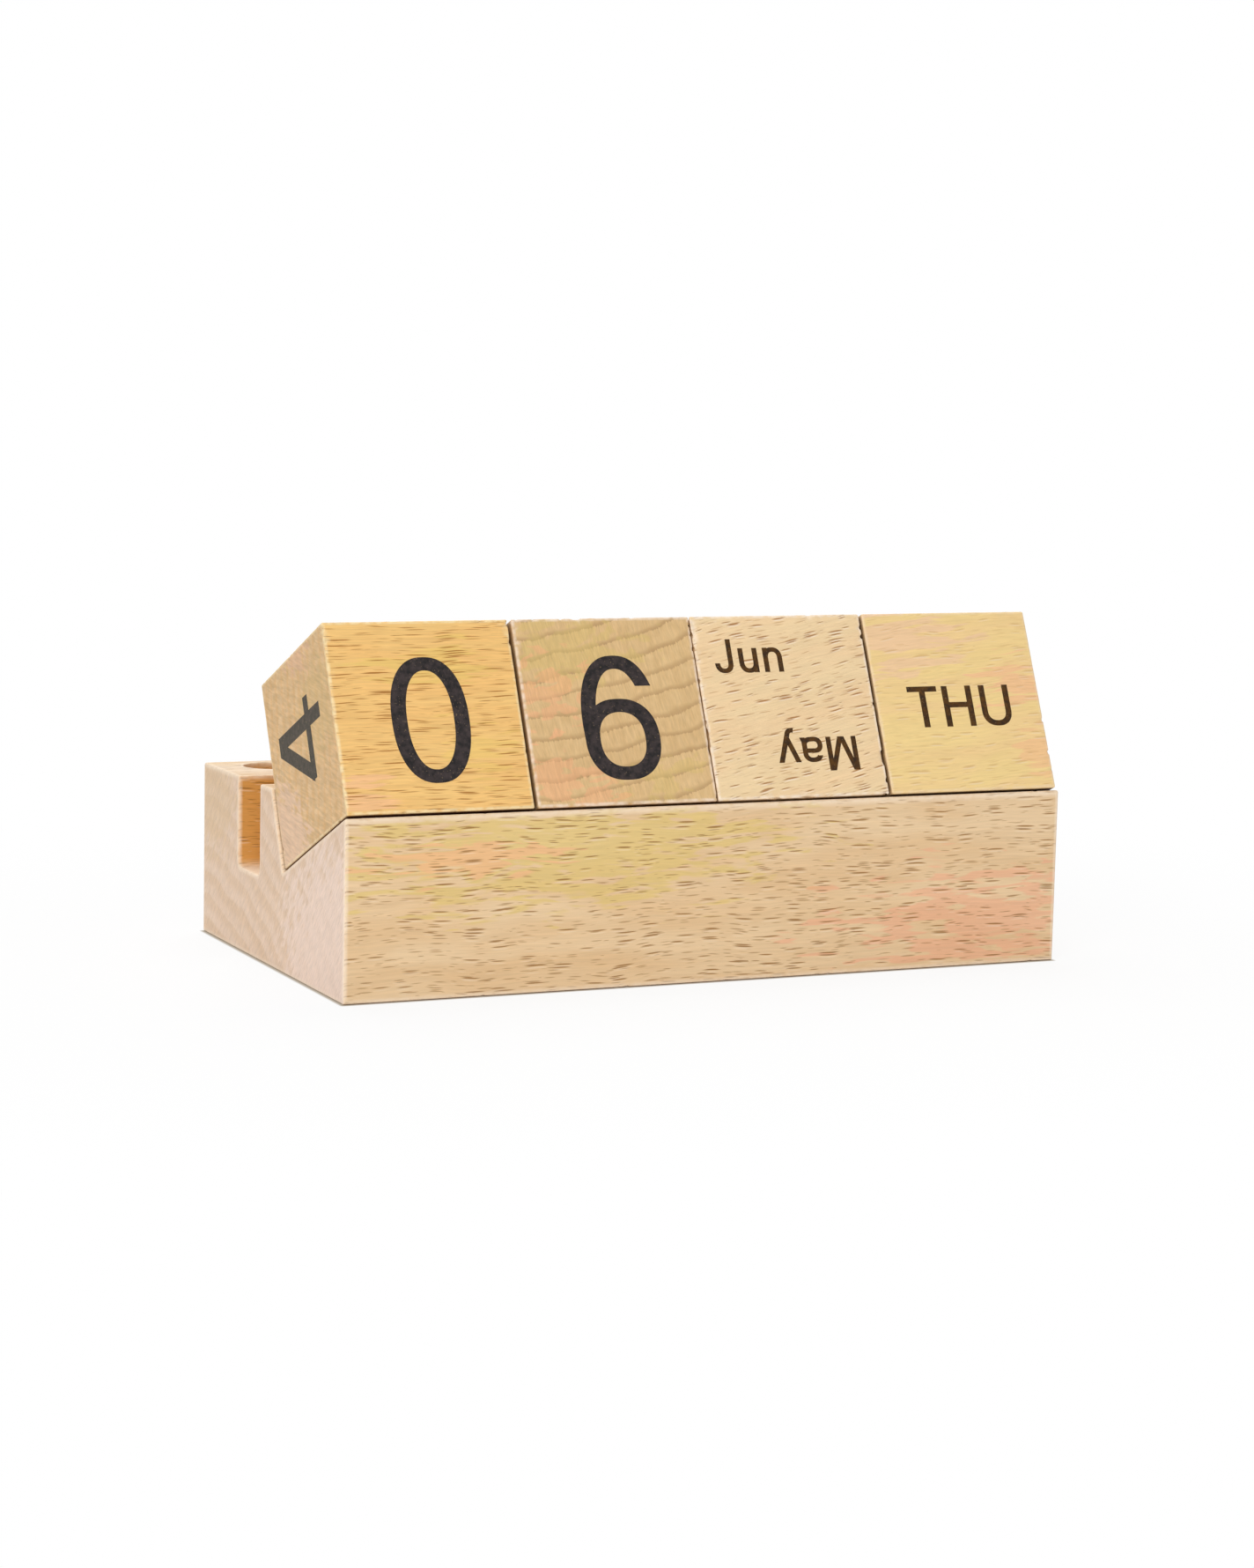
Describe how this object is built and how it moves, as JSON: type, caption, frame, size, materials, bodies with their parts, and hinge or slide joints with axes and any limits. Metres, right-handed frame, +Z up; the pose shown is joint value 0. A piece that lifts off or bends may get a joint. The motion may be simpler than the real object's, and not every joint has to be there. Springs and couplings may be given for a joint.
{
  "type": "perpetual desk calendar",
  "caption": "Wooden perpetual desk calendar: loose printed cubes seated side by side in the tilted groove of a one-piece base with a phone slot and pen holes.",
  "frame": {"origin": "centre of the base's underside, which is the bottom centre of the whole object's box", "axes": "+X along the row of cubes, from the day tens to the weekday; the cubes face -Y; +Z up"},
  "size_m": [0.1634, 0.09, 0.0745],
  "materials": {
    "base_beech": "matte",
    "tens_beech": "matte",
    "units_beech": "matte",
    "month_beech": "matte",
    "weekday_beech": "matte",
    "printed_ink": "matte"
  },
  "bodies": {
    "base": {"base_block": "base_beech"},
    "day_tens": {"day_tens_cube": "tens_beech"},
    "day_units": {"day_units_cube": "units_beech"},
    "month": {"month_cube": "month_beech"},
    "weekday": {"weekday_cube": "weekday_beech"}
  },
  "joints": [
    {"name": "day_tens_lift", "type": "slide", "parent": "base", "child": "day_tens", "axis": [0, 0, 1], "range_m": [0, 0.06]},
    {"name": "day_units_lift", "type": "slide", "parent": "base", "child": "day_units", "axis": [0, 0, 1], "range_m": [0, 0.06]},
    {"name": "month_lift", "type": "slide", "parent": "base", "child": "month", "axis": [0, 0, 1], "range_m": [0, 0.06]},
    {"name": "weekday_lift", "type": "slide", "parent": "base", "child": "weekday", "axis": [0, 0, 1], "range_m": [0, 0.06]}
  ]
}
